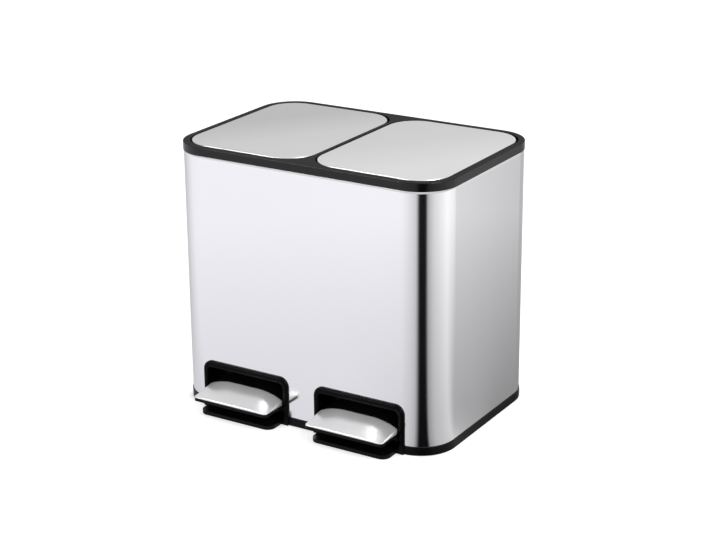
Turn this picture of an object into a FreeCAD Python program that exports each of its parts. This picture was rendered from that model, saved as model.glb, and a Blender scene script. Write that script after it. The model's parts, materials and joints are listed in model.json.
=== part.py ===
"""Twin pedal bin: a steel housing, two lids side by side, two pedals and two lift-out buckets.

Millimetres, +Z up, the front faces -Y. Pieces are drawn with Y = 0 at the middle of the housing
and saved with the origin on the floor, under the middle of the whole outline, pedals included.
The right-hand pieces are drawn first and the left-hand ones are their mirror images.
"""
import FreeCAD
import Part
import math
import os

os.makedirs("parts", exist_ok=True)
Vec = FreeCAD.Vector
X_AXIS = Vec(1, 0, 0)
Z_AXIS = Vec(0, 0, 1)

# ---------------------------------------------------------------- housing
body_width = 389.0
body_depth = 263.0
body_height = 350.0
plan_radius = 48.5
pedal_reach = 38.5          # pedals in front of the housing
shell_sheet = 0.6
shell_inset = 0.8           # rim and base stand this proud of the steel
seat_fit = 0.1              # moulded piece against its neighbour on the same body
over = 1.0                  # cutters run this far past the material

# ---------------------------------------------------------------- base
foot_lift = 0.6             # base above the floor
band_top = 11.8
deck_top = 42.5
deck_thickness = 2.5
base_wall = 2.5
rib_thickness = 2.0
rib_depth = 8.0
rib_offset = 46.0           # ribs on both sides of each lever
tongue_side_gap = 3.3       # to the sides of the pedal opening
tongue_reach = 27.5         # in front of the housing
tongue_height = 5.0
tongue_radius = 11.0
foot_pad_radius = 9.0
foot_pad_height = 3.0
foot_stem_radius = 3.0
foot_stem_length = 6.0
foot_boss_wall = 2.5
foot_inset_x = 36.0         # from the housing's side
foot_inset_y = 44.0         # from the housing's front and back

# ---------------------------------------------------------------- lids
lid_side_margin = 10.4
lid_end_margin = 11.3
lid_split = 9.0             # between the two lids
lid_radius = 39.5
lid_sheet = 0.6
lid_proud = 0.6             # above the rim
lid_skirt = 5.4
lid_edge_radius = 1.8
lid_gap = 2.2               # to the rim at the front and sides
lid_rear_gap = 4.0          # room for the rear edge to dip
lid_panel = 2.0
lid_wall = 2.4
lid_rib = 1.6
lid_rib_offset = 42.0
lid_lip = 0.8               # moulded edge below the steel
hinge_bar_front = 13.0      # solid bar in front of the hinge axis

# ---------------------------------------------------------------- hinge and crank
hinge_inset = 10.2          # hinge axis in front of the lid's rear edge
barrel_radius = 3.0
pin_radius = 1.5
running_fit = 0.05
lug_offset = 62.0
lug_width = 6.0
lug_radius = 2.6
lug_foot = 9.0
lug_lean = 6.5
lug_bend = 45.0             # where the lug's web meets its eye, below the level
side_play = 0.5
lid_travel = 75.0
crank_plate = 3.0
crank_wall = 3.0
crank_ratio = 1.045         # spreads the slot's play over the lid's travel
crank_play = 0.72           # slot wider than the hook, each side

# ---------------------------------------------------------------- rim
rim_band = 11.0
rim_depth = 26.0
rim_wall = 2.2
rim_top_radius = 1.0
shell_grip = 6.0            # steel inside the rim's groove
ledge_depth = 8.0           # below the rim's top
ledge_width = 6.0
ledge_thickness = 2.5
shelf_clearance = 1.5
bucket_rear_gap = 2.5
bumper_radius = 2.6
bumper_gap = 0.3

# ---------------------------------------------------------------- buckets
bucket_clearance = 2.2      # lip to the rim's opening
bucket_drop = 24.0          # lip below the rim's top
bucket_rod_gap = 3.4        # lip to the push rod
bucket_taper = 9.5
bucket_wall = 1.5
bucket_floor = 2.0
bucket_radius = 32.0
bucket_lip_width = 4.5
bucket_lip_height = 7.0
bucket_lip_sheet = 1.6

# ---------------------------------------------------------------- pedals and levers
pedal_x = 85.0
pedal_side_gap = 2.5        # to the sides of the opening
pedal_radius = 5.0
pedal_low = 22.5
pedal_band = 4.2            # black edge below the steel
pedal_front_top = 29.2
pedal_slope = 0.315
pedal_front_shoulder = (26.0, 2.1)      # width and drop of the arched shoulder
pedal_rear_shoulder = (38.0, 12.0)
pedal_length = 57.0
cover_length = 38.0
cover_sheet = 0.8
pedal_wall = 2.4
pedal_travel = 9.0
pivot_inset = 68.5          # fulcrum behind the housing's front
pivot_z = 21.0
lever_width = 24.0
lever_height = 10.0
lever_sheet = 1.2
lever_inset = 27.0          # lever's end behind the pedal's front
lever_tail = 7.0            # behind the rod's eye
lever_pin_radius = 2.5
pin_head = 1.5
lever_lug = 4.0
lever_lug_radius = 7.0
lever_gap = 0.5
eye_play = 0.4
screw_radius = 1.6
screw_head_radius = 3.4
screw_head = 1.8
screw_bite = 7.0
boss_radius = 4.0
pedal_screw_from_front = (33.0, 49.0)

# ---------------------------------------------------------------- bezels
bezel_width = 131.0
bezel_top = 64.8
bezel_radius = 13.5
bezel_side = 6.7
bezel_head = 7.7
bezel_proud = 3.4
bezel_bevel = 1.9
bezel_return = 6.0          # depth of the frame's rim, so that it follows the housing's corner
pocket_wall = 1.6
pocket_depth = 18.7         # back wall behind the steel
pocket_back_low = 38.0
cut_clearance = 0.3

# ---------------------------------------------------------------- rods and guides
rod_radius = 2.0
rod_bend = 3.5
top_hook = 11.0
bottom_hook = 14.5
rod_hole_radius = 5.0
guide_width = 26.0
guide_depth = 11.0
guide_sheet = 1.2
guide_gap = 1.0             # guide's top below the bucket's lip
guide_rear = 7.6            # web behind the rod
guide_foot = 16.0
bush_height = 10.0

# ---------------------------------------------------------------- worked out from the sizes above
reach = body_width + body_depth         # longer than any cut has to be
shift_y = pedal_reach / 2
half_width = body_width / 2
half_depth = body_depth / 2
housing = (-half_width, half_width, -half_depth, half_depth, plan_radius)
shell_front = -half_depth + shell_inset
inner_inset = shell_inset + shell_sheet + seat_fit
lid_plan = (lid_split / 2, half_width - lid_side_margin, -half_depth + lid_end_margin,
            half_depth - lid_end_margin, lid_radius)
lid_x = (lid_plan[0] + lid_plan[1]) / 2
lid_top = body_height + lid_proud
lid_under = lid_top - lid_sheet
skin_low = lid_top - lid_skirt
frame_low = skin_low - lid_lip
hinge_y = lid_plan[3] - hinge_inset
hinge_z = lid_under - barrel_radius
window = (lid_plan[0] - lid_gap, lid_plan[1] + lid_gap, lid_plan[2] - lid_gap,
          lid_plan[3] + lid_rear_gap, lid_radius + lid_gap)
ledge_z = body_height - ledge_depth
shelf_z = hinge_z - math.hypot(hinge_inset, hinge_z - frame_low) - shelf_clearance
rim_low = body_height - rim_depth
pivot_y = -half_depth + pivot_inset
half_travel = math.radians(pedal_travel / 2)
half_opening = math.radians(lid_travel / 2)
arm_share = crank_ratio * math.sin(half_travel) / math.tan(half_opening)
crank_reach = (hinge_y - pivot_y) * arm_share / (1 + arm_share)
rod_y = hinge_y - crank_reach
rear_arm = rod_y - pivot_y
rod_rise = 2 * rear_arm * math.sin(half_travel)
rod_low = pivot_z - rod_rise / 2
rod_high = hinge_z - rod_rise / 2
bucket_top = body_height - bucket_drop
bucket_rear = rod_y - rod_radius - bucket_rod_gap
opening = (window[0] + ledge_width, window[1] - ledge_width, window[2] + ledge_width,
           bucket_rear + bucket_rear_gap, window[4] - ledge_width)
bucket_lip = (opening[0] + bucket_clearance, opening[1] - bucket_clearance,
              opening[2] + bucket_clearance, bucket_rear, bucket_radius)
pedal_front = -half_depth - pedal_reach
opening_width = bezel_width - 2 * bezel_side
pedal_width = opening_width - 2 * pedal_side_gap
tongue_width = opening_width - 2 * tongue_side_gap
lever_front = pedal_front + lever_inset
opening_top = bezel_top - bezel_head
opening_radius = bezel_radius - bezel_side
pocket_back = shell_front + pocket_depth
pocket_rear = pocket_back + pocket_wall + cut_clearance
deck_low = deck_top - deck_thickness
pocket_half = opening_width / 2 + pocket_wall + cut_clearance
plinth_top = band_top
crank_x = pedal_x + rod_radius + rod_bend
guide_top = bucket_top - bucket_lip_height - guide_gap
bush_level = (deck_top + guide_top - bush_height) / 2


def inset(plan, distance):
    """The plan drawn in by a distance, with its corners kept concentric."""
    x0, x1, y0, y1, radius = plan
    return (x0 + distance, x1 - distance, y0 + distance, y1 - distance, radius - distance)


def plan_wire(plan, z):
    """A rectangle with round corners at height z."""
    x0, x1, y0, y1, r = plan
    k = r * (1 - math.sqrt(0.5))
    corners = [
        (Vec(x1 - r, y0, z), Vec(x1 - k, y0 + k, z), Vec(x1, y0 + r, z)),
        (Vec(x1, y1 - r, z), Vec(x1 - k, y1 - k, z), Vec(x1 - r, y1, z)),
        (Vec(x0 + r, y1, z), Vec(x0 + k, y1 - k, z), Vec(x0, y1 - r, z)),
        (Vec(x0, y0 + r, z), Vec(x0 + k, y0 + k, z), Vec(x0 + r, y0, z)),
    ]
    edges = []
    for index, (start, middle, end) in enumerate(corners):
        edges.append(Part.Arc(start, middle, end).toShape())
        edges.append(Part.makeLine(end, corners[(index + 1) % 4][0]))
    return Part.Wire(edges)


def prism(plan, z0, z1):
    return Part.Face(plan_wire(plan, z0)).extrude(Vec(0, 0, z1 - z0))


def block(x0, x1, y0, y1, z0, z1):
    return Part.makeBox(x1 - x0, y1 - y0, z1 - z0, Vec(x0, y0, z0))


def rod_along(axis, radius, start, length):
    return Part.makeCylinder(radius, length, start, axis)


def fused(first, others):
    return first.multiFuse(list(others)).removeSplitter()


def rounded_top(shape, z, radius):
    """The shape with the edges of its flat top rounded."""
    edges = [edge for edge in shape.Edges if abs(edge.CenterOfMass.z - z) < radius / 2]
    return shape.makeFillet(radius, edges)


def side_profile(points, x0, x1):
    """A closed outline of (y, z) points, extruded from x0 to x1."""
    wire = Part.makePolygon([Vec(x0, y, z) for y, z in points + points[:1]])
    return Part.Face(wire).extrude(Vec(x1 - x0, 0, 0))


def arch_wire(width, z0, z1, radius, y):
    """The pedal opening's outline: straight legs, a flat head and round top corners."""
    x0 = pedal_x - width / 2
    x1 = pedal_x + width / 2
    k = radius * (1 - math.sqrt(0.5))
    right_low = Vec(x1, y, z0)
    right_high = Vec(x1, y, z1 - radius)
    head_right = Vec(x1 - radius, y, z1)
    head_left = Vec(x0 + radius, y, z1)
    left_high = Vec(x0, y, z1 - radius)
    left_low = Vec(x0, y, z0)
    return Part.Wire([
        Part.makeLine(left_low, right_low),
        Part.makeLine(right_low, right_high),
        Part.Arc(right_high, Vec(x1 - k, y, z1 - k), head_right).toShape(),
        Part.makeLine(head_right, head_left),
        Part.Arc(head_left, Vec(x0 + k, y, z1 - k), left_high).toShape(),
        Part.makeLine(left_high, left_low),
    ])


def arch(width, z0, z1, radius, y0, y1):
    return Part.Face(arch_wire(width, z0, z1, radius, y0)).extrude(Vec(0, y1 - y0, 0))


def mirrored(shape):
    return shape.mirror(Vec(0, 0, 0), X_AXIS)


def both_sides(shape):
    return [shape, mirrored(shape)]


def tilted(shape, degrees=-pedal_travel / 2):
    """Turned about the lever's pivot. At rest the pedal end is raised."""
    turned = shape.copy()
    turned.rotate(Vec(pedal_x, pivot_y, pivot_z), X_AXIS, degrees)
    return turned


def outer_shell():
    """The wrapped steel sheet, with a cut-out for each bezel."""
    top = body_height - rim_band + shell_grip
    shell = prism(inset(housing, shell_inset), band_top, top)
    shell = shell.cut(prism(inset(housing, shell_inset + shell_sheet), band_top - over, top + over))
    cut_out = arch(2 * pocket_half, band_top - over, opening_top + pocket_wall + cut_clearance,
                   opening_radius + pocket_wall + cut_clearance, shell_front - over, pocket_back)
    return shell.cut(both_sides(cut_out))


def foot_places():
    x = half_width - foot_inset_x
    y = half_depth - foot_inset_y
    return [Vec(side * x, end * y, 0) for side in (-1, 1) for end in (-1, 1)]


def rubber_feet():
    """Four round pads, each with a stem pressed into its boss."""
    feet = []
    for place in foot_places():
        pad = rod_along(Z_AXIS, foot_pad_radius, place, foot_pad_height)
        stem = rod_along(Z_AXIS, foot_stem_radius, place, foot_pad_height + foot_stem_length)
        feet.append(pad.fuse(stem).removeSplitter())
    return Part.makeCompound(feet)


def base():
    """The moulded base: outer band, deck for the buckets, tongues below the pedals, lever lugs."""
    band = prism(housing, foot_lift, band_top)
    riser = prism(inset(housing, inner_inset), foot_lift, deck_top)
    hollow = prism(inset(housing, inner_inset + base_wall), foot_lift - over, deck_low)
    body = fused(band, [riser]).cut(hollow)
    plinth = arch(bezel_width, foot_lift, plinth_top + bezel_radius, bezel_radius,
                  shell_front - bezel_proud, shell_front + shell_sheet + base_wall)
    plinth = plinth.cut(block(0, reach, -reach, 0, plinth_top, reach))
    tongue_front = -half_depth - tongue_reach
    tongue_plan = (pedal_x - tongue_width / 2, pedal_x + tongue_width / 2, tongue_front, pocket_back,
                   tongue_radius)
    tongue = prism(tongue_plan, foot_lift, foot_lift + tongue_height)
    sill = block(pedal_x - bezel_width / 2, pedal_x + bezel_width / 2, -half_depth,
                 pocket_back, foot_lift, foot_lift + tongue_height)
    adds = both_sides(plinth) + both_sides(tongue) + both_sides(sill)
    for x in (pedal_x - rib_offset, pedal_x + rib_offset):
        rib = block(x - rib_thickness / 2, x + rib_thickness / 2, pocket_rear,
                    half_depth - inner_inset - base_wall / 2, deck_low - rib_depth, deck_low)
        adds += both_sides(rib)
    adds.append(block(-rib_thickness / 2, rib_thickness / 2, shell_front + base_wall,
                      half_depth - inner_inset - base_wall / 2, foot_lift, deck_low))
    for place in foot_places():
        adds.append(rod_along(Z_AXIS, foot_pad_radius + foot_boss_wall, place + Vec(0, 0, foot_lift),
                              deck_low - foot_lift))
    for side in (-1, 1):
        x0 = pedal_x + side * (lever_width / 2 + lever_gap)
        x_low = min(x0, x0 + side * lever_lug)
        lug = block(x_low, x_low + lever_lug, pivot_y - lever_lug_radius, pivot_y + lever_lug_radius,
                    pivot_z, deck_low)
        nose = rod_along(X_AXIS, lever_lug_radius, Vec(x_low, pivot_y, pivot_z), lever_lug)
        adds += both_sides(lug.fuse(nose))
    body = fused(body, adds)
    pocket = block(pedal_x - pocket_half, pedal_x + pocket_half, -reach, pocket_rear, plinth_top, reach)
    doorway = block(pedal_x - opening_width / 2, pedal_x + opening_width / 2, -reach, pocket_rear,
                    foot_lift + tongue_height, reach)
    pin_hole = rod_along(X_AXIS, lever_pin_radius + running_fit / 2,
                         Vec(pedal_x - lever_width, pivot_y, pivot_z), 2 * lever_width)
    rod_hole = rod_along(Z_AXIS, rod_hole_radius, Vec(pedal_x, rod_y, deck_low - over), deck_top)
    cuts = both_sides(pocket) + both_sides(doorway) + both_sides(pin_hole) + both_sides(rod_hole)
    for place in foot_places():
        cuts.append(rod_along(Z_AXIS, foot_pad_radius + seat_fit, place, foot_pad_height))
        cuts.append(rod_along(Z_AXIS, foot_stem_radius + seat_fit / 2, place,
                              foot_pad_height + foot_stem_length + over))
    for place in guide_screw_places():
        hole = rod_along(Z_AXIS, screw_radius + seat_fit / 2, place - Vec(0, 0, screw_bite),
                         screw_bite + over)
        cuts += both_sides(hole)
    return body.cut(cuts)


def rim_lug(x):
    """A lug on the rear shelf that leans forward, clear of the lid's dipping rear edge."""
    x0 = x - lug_width / 2
    eye = rod_along(X_AXIS, lug_radius, Vec(x0, hinge_y, hinge_z), lug_width)
    foot_rear = hinge_y - lug_lean
    lean = math.radians(lug_bend)
    back = (hinge_y + lug_radius * math.cos(lean), hinge_z - lug_radius * math.sin(lean))
    front = (hinge_y - lug_radius * math.cos(lean), hinge_z + lug_radius * math.sin(lean))
    root_z = shelf_z - ledge_thickness / 2
    web = side_profile([front, back, (foot_rear, root_z), (foot_rear - lug_foot, root_z)],
                       x0, x0 + lug_width)
    return eye.fuse(web)


def top_rim():
    """The moulded rim: outer band, ledges, lower rear shelf with hinge lugs, centre rib."""
    band = rounded_top(prism(housing, body_height - rim_band, body_height), body_height, rim_top_radius)
    inner = inset(housing, inner_inset)
    slab = prism(inner, ledge_z - ledge_thickness, body_height - rim_top_radius)
    rear = prism(inner, shelf_z - ledge_thickness, body_height - rim_top_radius)
    rear = rear.common(block(-reach, reach, opening[3] - ledge_width, reach, 0, reach))
    skirt = prism(inner, rim_low, body_height - rim_band)
    skirt = skirt.cut(prism(inset(inner, rim_wall), rim_low - over, body_height))
    spine = block(-rib_thickness, rib_thickness, -half_depth + inner_inset + rim_wall / 2,
                  half_depth - inner_inset - rim_wall / 2, rim_low, ledge_z)
    body = fused(band, [slab, rear, skirt, spine])
    groove = prism(inset(housing, shell_inset - seat_fit), body_height - rim_band - over,
                   body_height - rim_band + shell_grip + seat_fit)
    groove = groove.cut(prism(inner, 0, reach))
    pocket = prism(window, shelf_z, reach).common(block(0, reach, opening[3], reach, 0, reach))
    notch = block(pedal_x - rod_radius - rod_bend, crank_x + crank_plate + rod_bend,
                  opening[3] - over, hinge_y - lug_radius, rim_low - over, reach)
    mouth = prism(opening, rim_low - over, reach)
    cuts = [groove]
    for cut in (prism(window, ledge_z, reach), pocket, notch, mouth):
        cuts += both_sides(cut)
    body = body.cut(cuts)
    lugs = []
    for side in (-1, 1):
        lugs += both_sides(rim_lug(lid_x + side * lug_offset))
    body = fused(body, lugs)
    pin_hole = rod_along(X_AXIS, pin_radius + running_fit / 2,
                         Vec(lid_x - lug_offset - lug_width, hinge_y, hinge_z),
                         2 * (lug_offset + lug_width))
    return body.cut(both_sides(pin_hole))


def lid_bumpers():
    """Soft buttons on the front ledges, where the lids come down."""
    height = frame_low - ledge_z - bumper_gap
    buttons = []
    for side in (-1, 1):
        place = Vec(lid_x + side * lug_offset / 2, window[2] + ledge_width / 2, ledge_z)
        buttons += both_sides(rod_along(Z_AXIS, bumper_radius, place, height))
    return Part.makeCompound(buttons)


def lid_skin():
    """The pressed steel cover, with rolled edges."""
    outer = rounded_top(prism(lid_plan, skin_low, lid_top), lid_top, lid_edge_radius)
    inner = prism(inset(lid_plan, lid_sheet), skin_low - over, lid_under)
    return outer.cut(rounded_top(inner, lid_under, lid_edge_radius - lid_sheet))


def slot_along(start, end, radius, x0, x1):
    """A round-ended slot in the lever or crank plane, between two (y, z) points."""
    (y0, z0), (y1, z1) = start, end
    length = math.hypot(y1 - y0, z1 - z0)
    side_y = (z1 - z0) / length * radius
    side_z = -(y1 - y0) / length * radius
    corners = [(y0 + side_y, z0 + side_z), (y1 + side_y, z1 + side_z),
               (y1 - side_y, z1 - side_z), (y0 - side_y, z0 - side_z)]
    bar = side_profile(corners, x0, x1)
    ends = [rod_along(X_AXIS, radius, Vec(x0, y, z), x1 - x0) for y, z in (start, end)]
    return bar.multiFuse(ends)


def lid_frame():
    """The moulded lid under the steel: panel, skirt, ribs, hinge bar and slotted crank."""
    body = prism(inset(lid_plan, lid_sheet + seat_fit), frame_low, lid_under)
    body = rounded_top(body, lid_under, lid_edge_radius - lid_sheet)
    body = fused(body, [prism(inset(lid_plan, 2 * seat_fit), frame_low, skin_low - seat_fit)])
    hollow = prism(inset(lid_plan, lid_sheet + seat_fit + lid_wall), frame_low - over,
                   lid_under - lid_panel)
    hollow = hollow.cut(block(0, reach, hinge_y - hinge_bar_front, reach, 0, reach))
    for side in (-1, 1):
        x = lid_x + side * lid_rib_offset
        hollow = hollow.cut(block(x - lid_rib / 2, x + lid_rib / 2, -reach, reach, 0, reach))
    body = body.cut(hollow)
    far = math.hypot(crank_reach, rod_rise / 2)
    slant_y = -math.cos(half_opening)
    slant_z = -math.sin(half_opening)
    slot_start = (hinge_y + crank_reach * slant_y, hinge_z + crank_reach * slant_z)
    slot_end = (hinge_y + far * slant_y, hinge_z + far * slant_z)
    slot_radius = rod_radius + crank_play
    arm = slot_along((hinge_y - crank_reach / 2, frame_low), slot_end, slot_radius + crank_wall,
                     crank_x, crank_x + crank_plate)
    arm = arm.cut(block(0, reach, -reach, reach, skin_low, reach))
    body = fused(body, [arm])
    cuts = [slot_along(slot_start, slot_end, slot_radius, crank_x - over, crank_x + crank_plate + over)]
    cuts.append(rod_along(X_AXIS, pin_radius + running_fit,
                          Vec(lid_x - lug_offset - lug_width, hinge_y, hinge_z),
                          2 * (lug_offset + lug_width)))
    lug_reach = hinge_z - frame_low + lug_lean
    for side in (-1, 1):
        x = lid_x + side * lug_offset
        cuts.append(block(x - lug_width / 2 - side_play, x + lug_width / 2 + side_play,
                          hinge_y - lug_reach, reach, 0, reach))
    return body.cut(cuts)


def lid_hinge_pin():
    length = 2 * (lug_offset + lug_width / 2)
    start = Vec(lid_x - length / 2, hinge_y, hinge_z)
    return rod_along(X_AXIS, pin_radius, start, length)


def bucket():
    """A tapered bucket with round corners and a turned-down lip."""
    low_outer = inset(bucket_lip, bucket_lip_width + bucket_taper)
    high_outer = inset(bucket_lip, bucket_lip_width)
    outer = Part.makeLoft([plan_wire(low_outer, deck_top), plan_wire(high_outer, bucket_top)], True, True)
    low_inner = inset(low_outer, bucket_wall)
    high_inner = inset(high_outer, bucket_wall)
    inner = Part.makeLoft([plan_wire(low_inner, deck_top + bucket_floor), plan_wire(high_inner, bucket_top)],
                          True, True)
    lip = prism(bucket_lip, bucket_top - bucket_lip_height, bucket_top)
    under = prism(inset(bucket_lip, bucket_lip_sheet), bucket_top - bucket_lip_height - over,
                  bucket_top - bucket_lip_sheet)
    return outer.fuse(lip.cut(under)).cut(inner).removeSplitter()


def pedal_section(y, top, shoulder, distance, arched=True):
    """The pedal's cross-section at y, drawn in by a distance: flat middle and sloping shoulders.

    shoulder is (width, drop). An arched shoulder leaves the flat middle without a break.
    """
    width, drop = shoulder
    arc_radius = (width ** 2 + drop ** 2) / (2 * drop)
    half = pedal_width / 2

    def arc_height(offset):
        """The height of the drawn-in shoulder at an offset from the flat middle's end."""
        return top - arc_radius + math.sqrt((arc_radius - distance) ** 2 - offset ** 2)

    side = half - distance
    flat = half - width
    bow = (side + flat) / 2
    side_z = arc_height(side - flat)
    low_left = Vec(pedal_x - side, y, pedal_low)
    low_right = Vec(pedal_x + side, y, pedal_low)
    high_right = Vec(pedal_x + side, y, side_z)
    crown_right = Vec(pedal_x + flat, y, top - distance)
    crown_left = Vec(pedal_x - flat, y, top - distance)
    high_left = Vec(pedal_x - side, y, side_z)
    if not arched:
        return Part.makePolygon([low_left, low_right, high_right, crown_right, crown_left, high_left,
                                 low_left])
    bow_z = arc_height(bow - flat)
    return Part.Wire([
        Part.makeLine(low_left, low_right),
        Part.makeLine(low_right, high_right),
        Part.Arc(high_right, Vec(pedal_x + bow, y, bow_z), crown_right).toShape(),
        Part.makeLine(crown_right, crown_left),
        Part.Arc(crown_left, Vec(pedal_x - bow, y, bow_z), high_left).toShape(),
        Part.makeLine(high_left, low_left),
    ])


def pedal_wedge(distance, arched=True):
    """The wedge between the front and the rear cross-section."""
    rear_top = pedal_front_top + pedal_slope * pedal_length
    return Part.makeLoft([
        pedal_section(pedal_front, pedal_front_top, pedal_front_shoulder, distance, arched),
        pedal_section(pedal_front + pedal_length, rear_top, pedal_rear_shoulder, distance, arched),
    ], True, True)


def pedal_form(distance, length):
    """The pedal's outside, drawn in by a distance, with its front corners round."""
    plan = (pedal_x - pedal_width / 2, pedal_x + pedal_width / 2, pedal_front,
            pedal_front + 2 * pedal_length, pedal_radius)
    form = pedal_wedge(distance).common(prism(inset(plan, distance), 0, reach))
    return form.common(block(0, reach, -reach, pedal_front + length, 0, reach))


def pedal_cover():
    """The steel tread, wrapped over the moulded pedal."""
    cover = pedal_form(0, cover_length).cut(pedal_form(cover_sheet, pedal_length))
    return cover.common(block(0, reach, -reach, reach, pedal_low + pedal_band, reach))


def lever_web_top():
    return pivot_z - lever_height / 2 + lever_sheet


def pedal_screw_places():
    return [Vec(pedal_x, pedal_front + distance, 0) for distance in pedal_screw_from_front]


def pedal_body():
    """The moulded pedal: black edge, hollow inside, bosses that stand in the lever."""
    fit = cover_sheet + seat_fit
    core = pedal_form(fit, pedal_length)
    edge = pedal_form(0, pedal_length)
    edge = edge.common(block(0, reach, -reach, reach, 0, pedal_low + pedal_band - seat_fit))
    wall = fit + pedal_wall
    hollow = pedal_wedge(wall, arched=False)
    hollow = hollow.common(block(0, reach, pedal_front + wall, reach, 0, reach))
    body = fused(core, [edge]).cut(hollow)
    bosses = []
    for place in pedal_screw_places():
        boss = rod_along(Z_AXIS, boss_radius, place + Vec(0, 0, lever_web_top()), lever_width)
        bosses.append(tilted(boss).common(core))
    body = fused(body, bosses)
    for place in pedal_screw_places():
        hole = rod_along(Z_AXIS, screw_radius + seat_fit / 2, place + Vec(0, 0, lever_web_top() - over),
                         screw_bite + over)
        body = body.cut(tilted(hole))
    return body


def pedal_lever():
    """The folded steel channel from the pedal to the push rod."""
    x0 = pedal_x - lever_width / 2
    x1 = pedal_x + lever_width / 2
    z0 = pivot_z - lever_height / 2
    end = rod_y + lever_tail
    channel = block(x0, x1, lever_front, end, z0, z0 + lever_height)
    channel = channel.cut(block(x0 + lever_sheet, x1 - lever_sheet, lever_front - over, end + over,
                                z0 + lever_sheet, reach))
    corner = block(x0 - over, x1 + over, end - lever_height, end + over, z0 - over,
                   z0 + lever_height + over)
    nose = rod_along(X_AXIS, lever_height, Vec(x0 - over, end - lever_height, pivot_z),
                     lever_width + 2 * over)
    cuts = [corner.cut(nose)]
    cuts.append(rod_along(X_AXIS, lever_pin_radius + running_fit, Vec(x0 - over, pivot_y, pivot_z),
                          lever_width + 2 * over))
    cuts.append(slot_along((rod_y - eye_play, pivot_z), (rod_y + eye_play, pivot_z),
                           rod_radius + eye_play, pedal_x, x1 + over))
    for place in pedal_screw_places():
        cuts.append(rod_along(Z_AXIS, screw_radius + seat_fit, place + Vec(0, 0, z0 - over),
                              lever_sheet + 2 * over))
    return tilted(channel.cut(cuts))


def lever_pin():
    """The lever's fulcrum, held in the two lugs of the base."""
    length = lever_width + 2 * (lever_gap + lever_lug)
    start = Vec(pedal_x - length / 2, pivot_y, pivot_z)
    pin = rod_along(X_AXIS, lever_pin_radius, start, length)
    head = rod_along(X_AXIS, lever_pin_radius + pin_head, start - Vec(pin_head, 0, 0), pin_head)
    return pin.fuse(head)


def screw(place):
    """A pan-head screw at the origin of its seat, pointing up."""
    head = rod_along(Z_AXIS, screw_head_radius, place - Vec(0, 0, screw_head), screw_head)
    shank = rod_along(Z_AXIS, screw_radius, place, screw_bite)
    return head.fuse(shank)


def pedal_screws():
    seat = Vec(0, 0, pivot_z - lever_height / 2)
    return Part.makeCompound([tilted(screw(place + seat)) for place in pedal_screw_places()])


def bezel():
    """The moulded frame round a pedal, with the pocket behind it."""
    face = shell_front - bezel_proud
    bevel_back = face + bezel_bevel
    rim = arch(bezel_width, plinth_top, bezel_top, bezel_radius, bevel_back, shell_front + bezel_return)
    front_face = arch_wire(bezel_width - 2 * bezel_bevel, plinth_top, bezel_top - bezel_bevel,
                           bezel_radius - bezel_bevel, face)
    bevel = Part.makeLoft([arch_wire(bezel_width, plinth_top, bezel_top, bezel_radius, bevel_back),
                           front_face], True, True)
    frame = rim.fuse(bevel).cut(prism(inset(housing, shell_inset), 0, reach))
    pocket = arch(opening_width + 2 * pocket_wall, plinth_top, opening_top + pocket_wall,
                  opening_radius + pocket_wall, shell_front - bezel_proud / 2, pocket_back + pocket_wall)
    body = fused(frame, [pocket])
    mouth = arch(opening_width, plinth_top - over, opening_top, opening_radius, face - over, pocket_back)
    under = block(pedal_x - opening_width / 2, pedal_x + opening_width / 2, -reach, reach,
                  plinth_top - over, pocket_back_low)
    return body.cut([mouth, under])


def push_rod():
    """The wire rod behind the buckets, hooked through the lever below and the lid's crank above."""
    x = pedal_x
    k = rod_bend * (1 - math.sqrt(0.5))
    low_bend = (Vec(x + rod_bend, rod_y, rod_low), Vec(x + k, rod_y, rod_low + k),
                Vec(x, rod_y, rod_low + rod_bend))
    high_bend = (Vec(x, rod_y, rod_high - rod_bend), Vec(x + k, rod_y, rod_high - k),
                 Vec(x + rod_bend, rod_y, rod_high))
    path = Part.Wire([
        Part.makeLine(Vec(x + bottom_hook, rod_y, rod_low), low_bend[0]),
        Part.Arc(*low_bend).toShape(),
        Part.makeLine(low_bend[2], high_bend[0]),
        Part.Arc(*high_bend).toShape(),
        Part.makeLine(high_bend[2], Vec(x + top_hook, rod_y, rod_high)),
    ])
    section = Part.Wire([Part.makeCircle(rod_radius, Vec(x + bottom_hook, rod_y, rod_low), X_AXIS)])
    return path.makePipeShell([section], True, False)


def rod_guide():
    """The folded channel that stands on the deck round the rod."""
    x0 = pedal_x - guide_width / 2
    x1 = pedal_x + guide_width / 2
    rear = rod_y + guide_rear
    channel = block(x0, x1, rear - guide_depth, rear, deck_top, guide_top)
    channel = channel.cut(block(x0 + guide_sheet, x1 - guide_sheet, rear - guide_depth - over,
                                rear - guide_sheet, deck_top - over, guide_top + over))
    foot = block(x0, x1, rear - guide_sheet, rear + guide_foot, deck_top, deck_top + guide_sheet)
    body = fused(channel, [foot])
    for place in guide_screw_places():
        body = body.cut(rod_along(Z_AXIS, screw_radius + seat_fit, place - Vec(0, 0, over),
                                  guide_sheet + 2 * over))
    return body


def guide_screw_places():
    y = rod_y + guide_rear + guide_foot / 2
    return [Vec(pedal_x + side * guide_width / 4, y, deck_top) for side in (-1, 1)]


def guide_screws():
    """Two screws through each guide's foot into the deck, heads up."""
    screws = []
    for place in guide_screw_places():
        seat = place + Vec(0, 0, guide_sheet)
        head = rod_along(Z_AXIS, screw_head_radius, seat, screw_head)
        shank = rod_along(Z_AXIS, screw_radius, seat - Vec(0, 0, screw_bite), screw_bite)
        screws += both_sides(head.fuse(shank))
    return Part.makeCompound(screws)


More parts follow.
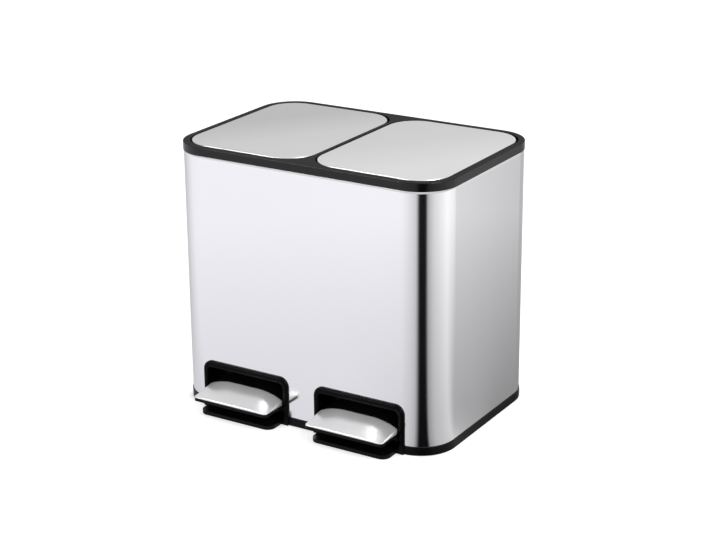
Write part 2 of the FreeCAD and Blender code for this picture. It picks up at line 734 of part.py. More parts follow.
def rod_bush():
    """The moulded slide block, snapped into the guide round the rod."""
    x0 = pedal_x - guide_width / 2 + guide_sheet + seat_fit
    x1 = pedal_x + guide_width / 2 - guide_sheet - seat_fit
    rear = rod_y + guide_rear - guide_sheet - seat_fit
    front = rod_y + guide_rear - guide_depth + seat_fit
    body = block(x0, x1, front - rod_radius, rear, bush_level, bush_level + bush_height)
    return body.cut(rod_along(Z_AXIS, rod_radius + running_fit, Vec(pedal_x, rod_y, 0), reach))


def save(name, shape):
    placed = shape.copy()
    placed.translate(Vec(0, shift_y, 0))
    placed.exportStep("parts/" + name + ".step")


SHARED = {
    "outer_shell": outer_shell,
    "base": base,
    "rubber_feet": rubber_feet,
    "top_rim": top_rim,
    "lid_bumpers": lid_bumpers,
    "guide_screws": guide_screws,
}
PAIRED = {
    "lid_skin": lid_skin,
    "lid_frame": lid_frame,
    "lid_hinge_pin": lid_hinge_pin,
    "bucket": bucket,
    "bezel": bezel,
    "pedal_cover": pedal_cover,
    "pedal_body": pedal_body,
    "pedal_lever": pedal_lever,
    "pedal_screws": pedal_screws,
    "lever_pin": lever_pin,
    "push_rod": push_rod,
    "rod_guide": rod_guide,
    "rod_bush": rod_bush,
}

for node, make in SHARED.items():
    save(node, make())
for node, make in PAIRED.items():
    right = make()
    save("right_" + node, right)
    save("left_" + node, mirrored(right))
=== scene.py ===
"""Dresses the twin pedal bin: camera, pale studio, finishes and the finely curved sheet pieces."""
import json
import math

import bmesh
import bpy
from mathutils import Matrix, Vector


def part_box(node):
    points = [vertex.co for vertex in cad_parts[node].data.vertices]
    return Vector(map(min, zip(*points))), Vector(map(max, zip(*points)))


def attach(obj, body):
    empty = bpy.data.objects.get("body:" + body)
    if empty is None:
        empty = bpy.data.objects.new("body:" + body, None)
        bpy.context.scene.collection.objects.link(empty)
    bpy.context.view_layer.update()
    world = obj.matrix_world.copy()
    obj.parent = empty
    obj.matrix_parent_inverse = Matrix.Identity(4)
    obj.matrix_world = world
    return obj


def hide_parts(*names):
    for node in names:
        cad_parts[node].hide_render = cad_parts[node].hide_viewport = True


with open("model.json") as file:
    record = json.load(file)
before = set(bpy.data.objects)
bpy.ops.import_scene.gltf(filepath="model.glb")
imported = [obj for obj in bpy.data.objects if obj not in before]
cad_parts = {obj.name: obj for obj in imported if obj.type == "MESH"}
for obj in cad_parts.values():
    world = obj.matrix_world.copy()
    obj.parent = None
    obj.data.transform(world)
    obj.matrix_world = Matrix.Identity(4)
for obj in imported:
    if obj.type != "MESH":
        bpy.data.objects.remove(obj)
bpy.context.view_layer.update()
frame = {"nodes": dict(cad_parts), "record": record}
MM = 0.001

# ---------------------------------------------------------------- sizes, read from the frame
rim_low, rim_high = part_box("top_rim")
shell_low, shell_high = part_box("outer_shell")
BODY_HEIGHT = rim_high.z
BODY_WIDTH = rim_high.x - rim_low.x
BODY_DEPTH = rim_high.y - rim_low.y
MIDDLE_Y = (rim_high.y + rim_low.y) / 2
PLAN_RADIUS = 48.5 * MM
PEDAL_X = 85.0 * MM
SHELL_INSET = rim_high.x - shell_high.x


# ---------------------------------------------------------------- mesh helpers
MERGE_DISTANCE = 0.0001 * MM
NORMAL_WEIGHT = 60
PLATE_SHARP_DEGREES = 50.0    # edges sharper than this stay sharp on the lids and treads


def finish_mesh(bm, name, sharp_degrees=30.0):
    """A smooth-shaded object from the bmesh, with edges over the angle kept sharp."""
    bmesh.ops.remove_doubles(bm, verts=bm.verts, dist=MERGE_DISTANCE)
    bmesh.ops.recalc_face_normals(bm, faces=bm.faces)
    mesh = bpy.data.meshes.new(name)
    bm.to_mesh(mesh)
    bm.free()
    for face in mesh.polygons:
        face.use_smooth = True
    mesh.set_sharp_from_angle(angle=math.radians(sharp_degrees))
    piece = bpy.data.objects.new(name, mesh)
    bpy.context.scene.collection.objects.link(piece)
    return piece


def finish_sheet(bm, name, thickness, sharp_degrees):
    """A sheet-metal piece from its outer face, thickened inwards."""
    piece = finish_mesh(bm, name, sharp_degrees)
    wall = piece.modifiers.new("wall", "SOLIDIFY")
    wall.thickness = thickness
    wall.offset = -1.0
    wall.use_even_offset = True
    normals = piece.modifiers.new("normals", "WEIGHTED_NORMAL")
    normals.keep_sharp = True
    normals.weight = NORMAL_WEIGHT
    return piece


def arc(centre, radius, start, turn, steps):
    """Points on an arc with both its ends, its start and turn given in degrees."""
    angles = [math.radians(start + turn * step / steps) for step in range(steps + 1)]
    return [(centre[0] + radius * math.cos(angle), centre[1] + radius * math.sin(angle)) for angle in angles]


def round_outline(x0, x1, y0, y1, radius, steps):
    """Points round a rectangle with round corners, anticlockwise from the front's right end."""
    left, right = x0 + radius, x1 - radius
    front, rear = y0 + radius, y1 - radius
    corners = (((right, front), -90), ((right, rear), 0), ((left, rear), 90), ((left, front), 180))
    points = []
    for centre, start in corners:
        points += arc(centre, radius, start, 90, steps)
    return points


def ring_faces(bm, rings):
    """Quads between closed rings of vertices."""
    for low, high in zip(rings, rings[1:]):
        count = len(low)
        for i in range(count):
            j = (i + 1) % count
            bm.faces.new((low[i], low[j], high[j], high[i]))


# ---------------------------------------------------------------- node helpers
VECTOR_MATH = "ShaderNodeVectorMath"
EDGE_SAMPLES = 6


def new_material(name):
    material = bpy.data.materials.new(name)
    material.use_nodes = True
    nodes = material.node_tree.nodes
    return material, nodes, material.node_tree.links, nodes["Principled BSDF"]


def feed(links, socket, source):
    """Links the socket to an output, or sets it to a fixed value."""
    if isinstance(source, bpy.types.NodeSocket):
        links.new(source, socket)
    else:
        socket.default_value = source


def maths(nodes, links, operation, *sources, kind="ShaderNodeMath", output="Value"):
    """A math node, or a vector math node, on outputs or fixed values."""
    node = nodes.new(kind)
    node.operation = operation
    for socket, source in zip(node.inputs, sources):
        feed(links, socket, source)
    return node.outputs[output]


def mix(nodes, links, factor, first, second, kind="RGBA", blend="MIX"):
    node = nodes.new("ShaderNodeMix")
    node.data_type = kind
    node.blend_type = blend
    for name, source in (("Factor", factor), ("A", first), ("B", second)):
        feed(links, node.inputs[name], source)
    return node.outputs["Result"]


def share_of(nodes, links, source, span):
    """0 up to the span's start, rising to 1 at its end."""
    node = nodes.new("ShaderNodeMapRange")
    node.inputs["From Min"].default_value, node.inputs["From Max"].default_value = span
    links.new(source, node.inputs["Value"])
    return node.outputs["Result"]


def axis_of(nodes, links, vector, axis):
    """The vector's value along one axis."""
    node = nodes.new("ShaderNodeSeparateXYZ")
    links.new(vector, node.inputs["Vector"])
    return node.outputs[axis]


def place_on_piece(nodes, links, scale=(1, 1, 1)):
    """The place on the piece in metres, multiplied by the scale. It moves with the piece."""
    place = nodes.new("ShaderNodeTexCoord")
    mapping = nodes.new("ShaderNodeMapping")
    mapping.inputs["Scale"].default_value = scale
    links.new(place.outputs["Object"], mapping.inputs["Vector"])
    return mapping.outputs["Vector"]


def noise(nodes, links, vector, scale, detail):
    texture = nodes.new("ShaderNodeTexNoise")
    texture.inputs["Scale"].default_value = scale
    texture.inputs["Detail"].default_value = detail
    links.new(vector, texture.inputs["Vector"])
    return texture.outputs["Fac"]


def ramp(nodes, links, source, stops):
    """A colour ramp: stops are (position, grey value or colour)."""
    node = nodes.new("ShaderNodeValToRGB")
    elements = node.color_ramp.elements
    while len(elements) < len(stops):
        elements.new(0.5)
    for element, (place, value) in zip(elements, stops):
        element.position = place
        colour = value if isinstance(value, tuple) else (value, value, value)
        element.color = (*colour, 1.0)
    links.new(source, node.inputs["Fac"])
    return node.outputs["Color"]


def bump(nodes, links, height, strength, distance, normal=None):
    node = nodes.new("ShaderNodeBump")
    node.inputs["Strength"].default_value = strength
    node.inputs["Distance"].default_value = distance
    links.new(height, node.inputs["Height"])
    if normal is not None:
        links.new(normal, node.inputs["Normal"])
    return node.outputs["Normal"]


def round_edges(nodes, radius):
    node = nodes.new("ShaderNodeBevel")
    node.samples = EDGE_SAMPLES
    node.inputs["Radius"].default_value = radius
    return node.outputs["Normal"]


def emission(nodes, links, colour, strength):
    node = nodes.new("ShaderNodeEmission")
    feed(links, node.inputs["Color"], colour)
    feed(links, node.inputs["Strength"], strength)
    return node.outputs["Emission"]


def seen_directly(nodes, links, paths):
    """1 for rays that come from the camera or through glass, 0 for the others."""
    return maths(nodes, links, "ADD", paths["Is Camera Ray"], paths["Is Transmission Ray"])


# ---------------------------------------------------------------- steel finishes
STEEL_CLOUD_DETAIL = 4.0
STEEL_CLOUD_TONE = 0.975      # the duller clouds' share of the colour
STEEL_GRAIN_DETAIL = 2.0
STEEL_GRAIN_DEPTH = 0.05 * MM
# painted shade across the lids: a tone ramp along a diagonal, darkest at one end
LID_SHADE_WAY = (0.8, -0.6, 0.0)
LID_SHADE_SPAN = (-0.16, 0.16)
LID_PAINTED_SHADE = [(0.06, 0.66), (0.34, 0.83), (0.58, 0.86), (0.72, 0.92), (0.92, 1.0)]


def toned(colour, tone):
    return tuple(channel * tone for channel in colour)


def painted_lid_shade(nodes, links, colour):
    """Painted shade: the colour darkened slowly along a diagonal across the lids, from one end to the other.
    """
    place = nodes.new("ShaderNodeTexCoord").outputs["Object"]
    along = maths(nodes, links, "DOT_PRODUCT", place, LID_SHADE_WAY, kind=VECTOR_MATH)
    tone = ramp(nodes, links, share_of(nodes, links, along, LID_SHADE_SPAN), LID_PAINTED_SHADE)
    return mix(nodes, links, 1.0, colour, tone, blend="MULTIPLY")


def steel(name, colour, rough, cloud_scale, grain_scale, grain_strength, metal=1.0, painted_shade=False):
    """Stainless sheet: soft clouding of the polish, from rough's low to its high, and a fine grain."""
    material, nodes, links, shader = new_material(name)
    clouds = noise(nodes, links, place_on_piece(nodes, links), cloud_scale, STEEL_CLOUD_DETAIL)
    links.new(ramp(nodes, links, clouds, [(0.3, rough[0]), (0.7, rough[1])]), shader.inputs["Roughness"])
    tint = ramp(nodes, links, clouds, [(0.25, toned(colour, STEEL_CLOUD_TONE)), (0.75, colour)])
    # the lids get painted shade across them
    if painted_shade:
        tint = painted_lid_shade(nodes, links, tint)
    links.new(tint, shader.inputs["Base Color"])
    grain = noise(nodes, links, place_on_piece(nodes, links, grain_scale), 1.0, STEEL_GRAIN_DETAIL)
    links.new(bump(nodes, links, grain, grain_strength, STEEL_GRAIN_DEPTH), shader.inputs["Normal"])
    shader.inputs["Metallic"].default_value = metal
    return material


# ---------------------------------------------------------------- moulded finishes
PATCH_SCALE = 26.0
PATCH_DETAIL = 3.0
PATCH_PLACES = (0.3, 0.7)
PATCH_TONES = (0.85, 1.15)
PATCH_ROUGHNESS = (-0.05, 0.05)
MOULD_GRAIN_SCALE = 1600.0
MOULD_GRAIN_DETAIL = 2.0
MOULD_GRAIN_STRENGTH = 0.25
MOULD_GRAIN_DEPTH = 0.03 * MM
FACING_UP = (0.5, 0.9)        # the surface normal's upward share, from band to top face


def rougher_above(nodes, links, rough, top_roughness):
    """The roughness, changed to a matt one where the surface faces up, as an eroded mould leaves it."""
    upward = axis_of(nodes, links, nodes.new("ShaderNodeTexCoord").outputs["Normal"], "Z")
    return mix(nodes, links, share_of(nodes, links, upward, FACING_UP), rough, top_roughness, kind="FLOAT")


def moulding(name, colour, roughness, specular=0.5, edge=0.5 * MM, top_roughness=None):
    """Moulded plastic: fine spark-eroded grain, slight patchiness, softened edges."""
    material, nodes, links, shader = new_material(name)
    place = place_on_piece(nodes, links)
    patches = noise(nodes, links, place, PATCH_SCALE, PATCH_DETAIL)
    tints = [toned(colour, tone) for tone in PATCH_TONES]
    links.new(ramp(nodes, links, patches, list(zip(PATCH_PLACES, tints))), shader.inputs["Base Color"])
    roughs = [roughness + change for change in PATCH_ROUGHNESS]
    rough = ramp(nodes, links, patches, list(zip(PATCH_PLACES, roughs)))
    if top_roughness is not None:
        rough = rougher_above(nodes, links, rough, top_roughness)
    links.new(rough, shader.inputs["Roughness"])
    shader.inputs["Specular IOR Level"].default_value = specular
    grain = noise(nodes, links, place, MOULD_GRAIN_SCALE, MOULD_GRAIN_DETAIL)
    normal = bump(nodes, links, grain, MOULD_GRAIN_STRENGTH, MOULD_GRAIN_DEPTH, round_edges(nodes, edge))
    links.new(normal, shader.inputs["Normal"])
    return material


# ---------------------------------------------------------------- dressing
def make_finishes():
    """A finish for each slot of the record, and one more for the bezels."""
    return {
        "polished_shell": steel("mirror_steel", (0.90, 0.90, 0.92), rough=(0.10, 0.13), cloud_scale=5.0,
                                grain_scale=(900, 900, 40), grain_strength=0.02),
        "satin_lid": steel("satin_steel", (0.93, 0.93, 0.94), rough=(0.28, 0.34), cloud_scale=14.0,
                           grain_scale=(60, 2600, 60), grain_strength=0.35, painted_shade=True),
        "pedal_steel": steel("tread_steel", (0.79, 0.79, 0.795), rough=(0.20, 0.25), cloud_scale=20.0,
                             grain_scale=(120, 1800, 120), grain_strength=0.12, metal=0.57),
        "zinc_steel": steel("zinc_plate", (0.56, 0.57, 0.58), rough=(0.28, 0.42), cloud_scale=30.0,
                            grain_scale=(500, 500, 500), grain_strength=0.15),
        "rim_plastic": moulding("charcoal_moulding", (0.003, 0.003, 0.0033), 0.14, specular=0.34,
                                top_roughness=0.75),
        "black_plastic": moulding("black_moulding", (0.003, 0.003, 0.0034), 0.36, specular=0.10),
        # the bezels' colour, darker than the black moulding's, is painted shade
        "bezel": moulding("bezel_moulding_painted_shade", (0.001, 0.001, 0.0012), 0.20, specular=0.06, edge=4.0 * MM),
        "bucket_plastic": moulding("bucket_moulding", (0.040, 0.041, 0.045), 0.5),
        "white_plastic": moulding("slide_plastic", (0.68, 0.68, 0.65), 0.4),
        "rubber_foot": moulding("foot_rubber", (0.025, 0.025, 0.025), 0.75),
    }


def dress_frame(finishes):
    """Every node gets its slot's finish, apart from the bezels: their edges are rounder and glossier, and
    their colour is darker than the black moulding's, as painted shade.
    """
    for entry in frame["record"]["subparts"]:
        node = frame["nodes"][entry["node"]]
        finish = "bezel" if entry["node"].endswith("_bezel") else entry["material_slot"]
        node.data.materials.clear()
        node.data.materials.append(finishes[finish])


def dress(piece, slot_name, finishes, body, node_name):
    """Gives the piece its slot's finish, and puts it on its body in the node's place."""
    piece.data.materials.append(finishes[slot_name])
    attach(piece, body)
    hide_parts(node_name)


# ---------------------------------------------------------------- housing sheet
SHELL_SHEET = 0.6 * MM
SHELL_SHARP_DEGREES = 40.0
CORNER_STEPS = 32
RIM_BAND = 11.0 * MM
NECK_HEIGHT = 4.5 * MM        # the sheet draws in slightly under the rim's band
NECK_DRAW = 0.7 * MM
NECK_STEPS = 8
CUT_OUT_WIDTH = 121.4 * MM    # the cut-outs lie behind the bezels
CUT_OUT_TOP = 59.0 * MM
CUT_OUT_RADIUS = 8.7 * MM
CUT_OUT_STEPS = 8


def cut_out_points(middle):
    """The cut-out's outline from its left foot over the arch to its right foot, as (x, z)."""
    left, right = middle - CUT_OUT_WIDTH / 2, middle + CUT_OUT_WIDTH / 2
    radius, height = CUT_OUT_RADIUS, CUT_OUT_TOP - CUT_OUT_RADIUS
    rise = arc((left + radius, height), radius, 180, -90, CUT_OUT_STEPS)
    fall = arc((right - radius, height), radius, 90, -90, CUT_OUT_STEPS)
    return [(left, shell_low.z)] + rise + fall + [(right, shell_low.z)]


def shell_levels():
    """The sheet's section as (drawn in, height): straight, then a slight neck up into the rim."""
    neck_low = BODY_HEIGHT - RIM_BAND - NECK_HEIGHT
    levels = [(0.0, shell_low.z), (0.0, neck_low)]
    for step in range(1, NECK_STEPS + 1):
        share = step / NECK_STEPS
        levels.append((NECK_DRAW * share ** 2, neck_low + NECK_HEIGHT * share))
    return levels + [(NECK_DRAW, shell_high.z)]


def make_shell():
    """The wrapped sheet: flat front panel with two cut-outs, finely curved corners, neck under the rim."""
    bm = bmesh.new()
    half_x = BODY_WIDTH / 2 - SHELL_INSET
    half_y = BODY_DEPTH / 2 - SHELL_INSET
    radius = PLAN_RADIUS - SHELL_INSET
    rings = []
    for drawn_in, z in shell_levels():
        plan = round_outline(-half_x + drawn_in, half_x - drawn_in, MIDDLE_Y - half_y + drawn_in,
                             MIDDLE_Y + half_y - drawn_in, radius - drawn_in, CORNER_STEPS)
        rings.append([bm.verts.new((x, y, z)) for x, y in plan])
    low, neck = rings[:2]
    for i in range(len(low) - 1):
        bm.faces.new((low[i], low[i + 1], neck[i + 1], neck[i]))
    front = [low[-1]]
    for middle in (-PEDAL_X, PEDAL_X):
        front += [bm.verts.new((x, MIDDLE_Y - half_y, z)) for x, z in cut_out_points(middle)]
    bm.faces.new(front + [low[0], neck[0], neck[-1]])
    ring_faces(bm, rings[1:])
    return finish_sheet(bm, "shell_sheet", SHELL_SHEET, SHELL_SHARP_DEGREES)


# ---------------------------------------------------------------- lid plates
LID_SHEET = 0.6 * MM
LID_ROLL = 1.8 * MM
LID_ROLL_STEPS = 8
LID_RADIUS = 39.5 * MM
LID_CORNER_STEPS = 20


def make_lid_plate(side_name):
    """A flat steel plate with rolled edges and a short turned-down skirt."""
    low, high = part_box(side_name + "_lid_skin")
    bm = bmesh.new()
    levels = [(0.0, low.z)] + arc((LID_ROLL, high.z - LID_ROLL), LID_ROLL, 180, -90, LID_ROLL_STEPS)
    rings = []
    for drawn_in, z in levels:
        plan = round_outline(low.x + drawn_in, high.x - drawn_in, low.y + drawn_in, high.y - drawn_in,
                             LID_RADIUS - drawn_in, LID_CORNER_STEPS)
        rings.append([bm.verts.new((x, y, z)) for x, y in plan])
    ring_faces(bm, rings)
    bm.faces.new(rings[-1])
    return finish_sheet(bm, "lid_plate_" + side_name, LID_SHEET, PLATE_SHARP_DEGREES)


# ---------------------------------------------------------------- pedal treads
TREAD_SHEET = 0.8 * MM
TREAD_RADIUS = 5.0 * MM
TREAD_FRONT_TOP = 29.2 * MM
TREAD_SLOPE = 0.315
TREAD_FRONT_SHOULDER = (26.0 * MM, 2.1 * MM)     # width and drop
TREAD_REAR_SHOULDER = (38.0 * MM, 12.0 * MM)
TREAD_FORM_LENGTH = 57.0 * MM                    # from the front shoulder's form to the rear one's
TREAD_EDGE = 1.4 * MM
TREAD_EDGE_SHARES = (1.0, 0.72, 0.48, 0.28, 0.14, 0.05, 0.0)
TREAD_EDGE_LIMIT = 0.7                           # the rolled edge's share of a low skirt
TREAD_ROWS = 26
TREAD_CORNER_STEPS = 10
TREAD_COLUMNS = 72


def shoulder_drop(offset, shoulder):
    """How far the arched shoulder has dropped, offset beyond the flat middle's end."""
    width, drop = shoulder
    if offset <= 0:
        return 0.0
    radius = (width ** 2 + drop ** 2) / (2 * drop)
    return radius - math.sqrt(radius ** 2 - min(offset, width) ** 2)


def tread_height(x, along, half):
    """The tread's top at x from its middle and at a distance behind the front edge."""
    share = along / TREAD_FORM_LENGTH
    front = shoulder_drop(abs(x) - (half - TREAD_FRONT_SHOULDER[0]), TREAD_FRONT_SHOULDER)
    rear = shoulder_drop(abs(x) - (half - TREAD_REAR_SHOULDER[0]), TREAD_REAR_SHOULDER)
    return TREAD_FRONT_TOP + TREAD_SLOPE * along - front * (1 - share) - rear * share


def rolled_height(x, along, half, inward, skirt_low):
    """The height where the sheet rolls over into its skirt, at a distance inside the outline."""
    top = tread_height(x, along, half)
    roll = min(TREAD_EDGE, TREAD_EDGE_LIMIT * (top - skirt_low))
    beyond = max(0.0, roll - inward)
    return top - roll + math.sqrt(roll ** 2 - beyond ** 2)


def tread_outline(half, length, inward):
    """Left side with its round corner, front, right corner and side: (x, distance behind the front)."""
    left = []
    for row in range(TREAD_ROWS):
        left.append((-half + inward, length - (length - TREAD_RADIUS) * row / TREAD_ROWS))
    corner = (-half + TREAD_RADIUS, TREAD_RADIUS)
    left += arc(corner, TREAD_RADIUS - inward, 180, 90, TREAD_CORNER_STEPS)
    straight = half - TREAD_RADIUS
    front = [(straight * (2 * column / TREAD_COLUMNS - 1), inward) for column in range(1, TREAD_COLUMNS)]
    return left + front + [(-x, along) for x, along in reversed(left)]


def make_tread(side_name):
    """The steel wrapped over the pedal: sloping top, arched shoulders, rolled edges, round front corners."""
    low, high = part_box(side_name + "_pedal_cover")
    middle = math.copysign(PEDAL_X, low.x)
    half = (high.x - low.x) / 2
    length = high.y - low.y
    bm = bmesh.new()

    def point(x, along, inward):
        z = rolled_height(x, along, half, inward, low.z)
        return bm.verts.new((middle + x, low.y + along, z))

    loops = []
    for share in TREAD_EDGE_SHARES:
        inward = TREAD_EDGE * share
        loops.append([point(x, along, inward) for x, along in tread_outline(half, length, inward)])
    loops.append([bm.verts.new((v.co.x, v.co.y, low.z)) for v in loops[-1]])
    for inner, outer in zip(loops, loops[1:]):
        for i in range(len(inner) - 1):
            bm.faces.new((inner[i], outer[i], outer[i + 1], inner[i + 1]))
    inner = loops[0]
    side_count = TREAD_ROWS + TREAD_CORNER_STEPS + 1
    rows = []
    for i in range(side_count - 1):
        start, end = inner[i], inner[-1 - i]
        row = [start]
        for column in range(1, TREAD_COLUMNS):
            x = start.co.x + (end.co.x - start.co.x) * column / TREAD_COLUMNS
            row.append(point(x - middle, start.co.y - low.y, TREAD_EDGE))
        rows.append(row + [end])
    rows.append(inner[side_count - 1:len(inner) - side_count + 1])
    for far, near in zip(rows, rows[1:]):
        for i in range(TREAD_COLUMNS):
            bm.faces.new((near[i], near[i + 1], far[i + 1], far[i]))
    return finish_sheet(bm, "tread_" + side_name, TREAD_SHEET, PLATE_SHARP_DEGREES)


# ---------------------------------------------------------------- studio floor
FLOOR_HALF = 6.0
FLOOR_COLOUR = (0.86, 0.86, 0.86, 1)
FLOOR_ROUGHNESS = 0.9
FLOOR_LIFT = (0.46, 0.46, 0.46, 1)               # added where the floor is seen directly, so that it is white
HOUSING_FADE = 30.0 * MM
TONE_CENTRE = Vector((146.0 * MM, MIDDLE_Y - 82.0 * MM, 0))    # inside the housing's near corner
TONE_REACH = (0.16, 0.98)                        # distances of the near and the far tones
# Painted reflection tones, by direction in degrees from the near corner: -122 is mirrored in the front, 58 in
# the right side. The black span about -65 to -45 is painted to mirror as a dark stripe in the housing's near
# corner.
NEAR_PAINTED_REFLECTION = [
    (-180, (0.575, 0.57, 0.59)), (-160, (0.775, 0.77, 0.80)), (-130, (0.785, 0.78, 0.81)),
    (-104, (0.68, 0.68, 0.70)), (-88, (0.62, 0.62, 0.63)), (-75, (0.48, 0.48, 0.49)),
    (-65, (0.004, 0.004, 0.0045)), (-45, (0.004, 0.004, 0.0045)), (-40, 0.33), (-25, 0.52), (18, 0.70),
    (40, 0.47), (50, 0.42), (58, 0.385), (66, 0.315), (78, 0.27), (130, 0.40),
    (150, (0.45, 0.45, 0.455)), (168, (0.48, 0.48, 0.49)), (180, (0.575, 0.57, 0.59))]
FAR_PAINTED_REFLECTION = [
    (-180, (0.79, 0.785, 0.81)), (-160, (0.96, 0.955, 0.99)), (-120, (1.01, 1.005, 1.04)),
    (-100, (0.90, 0.90, 0.92)), (-88, (0.81, 0.81, 0.82)), (-75, (0.67, 0.67, 0.68)),
    (-66.5, (0.010, 0.010, 0.011)), (-47.6, (0.010, 0.010, 0.011)), (-41.5, 0.50), (-25, 0.77), (18, 1.12),
    (48, 0.97), (54, 0.88), (60, 0.77), (70, 0.51), (120, 0.56),
    (150, (0.61, 0.61, 0.62)), (168, (0.65, 0.65, 0.66)), (180, (0.79, 0.785, 0.81))]


def clear_of_housing(nodes, links):
    """0 well under the housing, where no light reaches the floor, rising to 1 at its outline."""
    place = nodes.new("ShaderNodeNewGeometry").outputs["Position"]
    beyond = []
    for axis, middle, half in (("X", 0.0, BODY_WIDTH / 2), ("Y", MIDDLE_Y, BODY_DEPTH / 2)):
        offset = maths(nodes, links, "SUBTRACT", axis_of(nodes, links, place, axis), middle)
        distance = maths(nodes, links, "ABSOLUTE", offset)
        beyond.append(maths(nodes, links, "SUBTRACT", distance, half))
    return share_of(nodes, links, maths(nodes, links, "MAXIMUM", *beyond), (-HOUSING_FADE, 0.0))


def painted_floor_reflection(nodes, links):
    """Painted reflection: the floor's tones as polished metal sees them, by direction and distance from the
    near corner.
    """
    place = nodes.new("ShaderNodeNewGeometry").outputs["Position"]
    offset = maths(nodes, links, "SUBTRACT", place, TONE_CENTRE, kind=VECTOR_MATH, output="Vector")
    turn = maths(nodes, links, "ARCTAN2", *[axis_of(nodes, links, offset, axis) for axis in "YX"])
    direction = share_of(nodes, links, turn, (-math.pi, math.pi))
    near, far = [ramp(nodes, links, direction, [((degrees + 180) / 360, tone) for degrees, tone in tones])
                 for tones in (NEAR_PAINTED_REFLECTION, FAR_PAINTED_REFLECTION)]
    distance = maths(nodes, links, "LENGTH", offset, kind=VECTOR_MATH)
    return mix(nodes, links, share_of(nodes, links, distance, TONE_REACH), near, far)


def floor_material():
    """White to the camera with a soft contact shadow, and glowing with painted reflection tones where
    polished metal mirrors it.
    """
    material, nodes, links, shader = new_material("floor_white")
    shader.inputs["Base Color"].default_value = FLOOR_COLOUR
    shader.inputs["Roughness"].default_value = FLOOR_ROUGHNESS
    shader.inputs["Specular IOR Level"].default_value = 0.0
    paths = nodes.new("ShaderNodeLightPath").outputs
    clear = clear_of_housing(nodes, links)
    lift = maths(nodes, links, "MULTIPLY", seen_directly(nodes, links, paths), clear)
    lit = nodes.new("ShaderNodeAddShader")
    links.new(shader.outputs["BSDF"], lit.inputs[0])
    links.new(emission(nodes, links, FLOOR_LIFT, lift), lit.inputs[1])
    choose = nodes.new("ShaderNodeMixShader")
    links.new(paths["Is Glossy Ray"], choose.inputs["Fac"])
    links.new(lit.outputs["Shader"], choose.inputs[1])
    # glossy rays see the painted reflection glow, dark under the housing
    links.new(emission(nodes, links, painted_floor_reflection(nodes, links), clear), choose.inputs[2])
    links.new(choose.outputs["Shader"], nodes["Material Output"].inputs["Surface"])
    return material


def make_floor():
    bm = bmesh.new()
    corners = ((-1, -1), (1, -1), (1, 1), (-1, 1))
    bm.faces.new([bm.verts.new((x * FLOOR_HALF, y * FLOOR_HALF, 0)) for x, y in corners])
    floor = finish_mesh(bm, "studio_floor")
    floor.data.materials.append(floor_material())


# ---------------------------------------------------------------- sky and lamps
WHITE = (1, 1, 1, 1)
SKY_TONES = [(0.0, 0.64), (0.3, 0.79), (0.72, 0.76), (0.88, 0.74), (1.0, 0.72)]    # horizon to overhead
LAMPS = [    # name, place, width and height, watts
    ("key", (-1.19, -2.03, 1.05), (0.7, 0.5), 12),
    ("tread", (-0.81, -1.19, 2.16), (0.3, 0.3), 1.5),
    ("fill", (2.2, -0.6, 1.8), (1.4, 1.4), 30),
    ("top", (0.3, 0.4, 2.6), (1.8, 1.4), 2)]


def make_world():
    """White to the camera, pale grey sky for light and reflections, a little darker at the horizon."""
    world = bpy.data.worlds.new("studio")
    bpy.context.scene.world = world
    world.use_nodes = True
    nodes = world.node_tree.nodes
    links = world.node_tree.links
    place = nodes.new("ShaderNodeTexCoord").outputs["Generated"]
    sky = ramp(nodes, links, axis_of(nodes, links, place, "Z"), SKY_TONES)
    direct = seen_directly(nodes, links, nodes.new("ShaderNodeLightPath").outputs)
    links.new(mix(nodes, links, direct, sky, WHITE), nodes["Background"].inputs["Color"])
    nodes["Background"].inputs["Strength"].default_value = 1.0


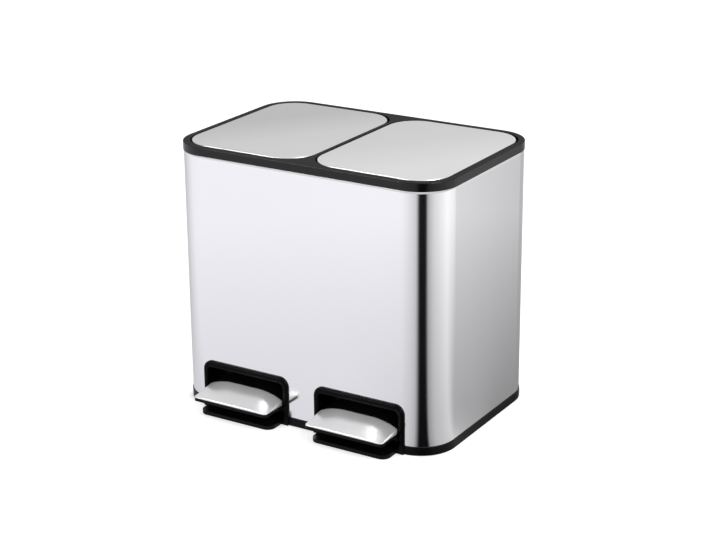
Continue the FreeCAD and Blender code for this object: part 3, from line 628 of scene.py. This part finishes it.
def make_lamps():
    """Soft area lamps, all turned to the middle of the bin."""
    aim = Vector((0, MIDDLE_Y, BODY_HEIGHT / 2))
    for name, place, size, power in LAMPS:
        light = bpy.data.lights.new(name, "AREA")
        light.shape = "RECTANGLE"
        light.size, light.size_y = size
        light.energy = power
        lamp = bpy.data.objects.new(name, light)
        lamp.location = place
        lamp.rotation_euler = (aim - Vector(place)).to_track_quat("-Z", "Y").to_euler()
        bpy.context.scene.collection.objects.link(lamp)


# ---------------------------------------------------------------- camera, fitted to the photograph
CAMERA_AZIMUTH = math.radians(31.639)
CAMERA_ELEVATION = math.radians(19.657)
CAMERA_ROLL = math.radians(-0.482)
CAMERA_DISTANCE = 6.6142 * BODY_HEIGHT
CAMERA_TARGET = Vector((0.0423, -0.0454, 0.5181)) * BODY_HEIGHT + Vector((0, MIDDLE_Y, 0))
FOCAL_PIXELS = 1801.63
PHOTO_WIDTH = 716
SENSOR_WIDTH = 36.0


def make_camera():
    """The photograph's camera, with its direction, distance, roll and focal length."""
    back = Vector((math.sin(CAMERA_AZIMUTH) * math.cos(CAMERA_ELEVATION),
                   -math.cos(CAMERA_AZIMUTH) * math.cos(CAMERA_ELEVATION), math.sin(CAMERA_ELEVATION)))
    right = Vector((math.cos(CAMERA_AZIMUTH), math.sin(CAMERA_AZIMUTH), 0))
    up = back.cross(right)
    cosine, sine = math.cos(CAMERA_ROLL), math.sin(CAMERA_ROLL)
    turn = Matrix((cosine * right + sine * up, cosine * up - sine * right, back)).transposed().to_4x4()
    data = bpy.data.cameras.new("photo_camera")
    data.sensor_width = SENSOR_WIDTH
    data.sensor_fit = "HORIZONTAL"
    data.lens = FOCAL_PIXELS * SENSOR_WIDTH / PHOTO_WIDTH
    camera = bpy.data.objects.new("photo_camera", data)
    camera.matrix_world = Matrix.Translation(CAMERA_TARGET + CAMERA_DISTANCE * back) @ turn
    bpy.context.scene.collection.objects.link(camera)
    bpy.context.scene.camera = camera


# ---------------------------------------------------------------- the scene
finishes = make_finishes()
dress_frame(finishes)
dress(make_shell(), "polished_shell", finishes, "root", "outer_shell")
for side_name in ("left", "right"):
    dress(make_lid_plate(side_name), "satin_lid", finishes, side_name + "_lid", side_name + "_lid_skin")
    dress(make_tread(side_name), "pedal_steel", finishes, side_name + "_pedal", side_name + "_pedal_cover")
make_floor()
make_world()
make_lamps()
make_camera()
bpy.context.scene.view_settings.view_transform = "Standard"
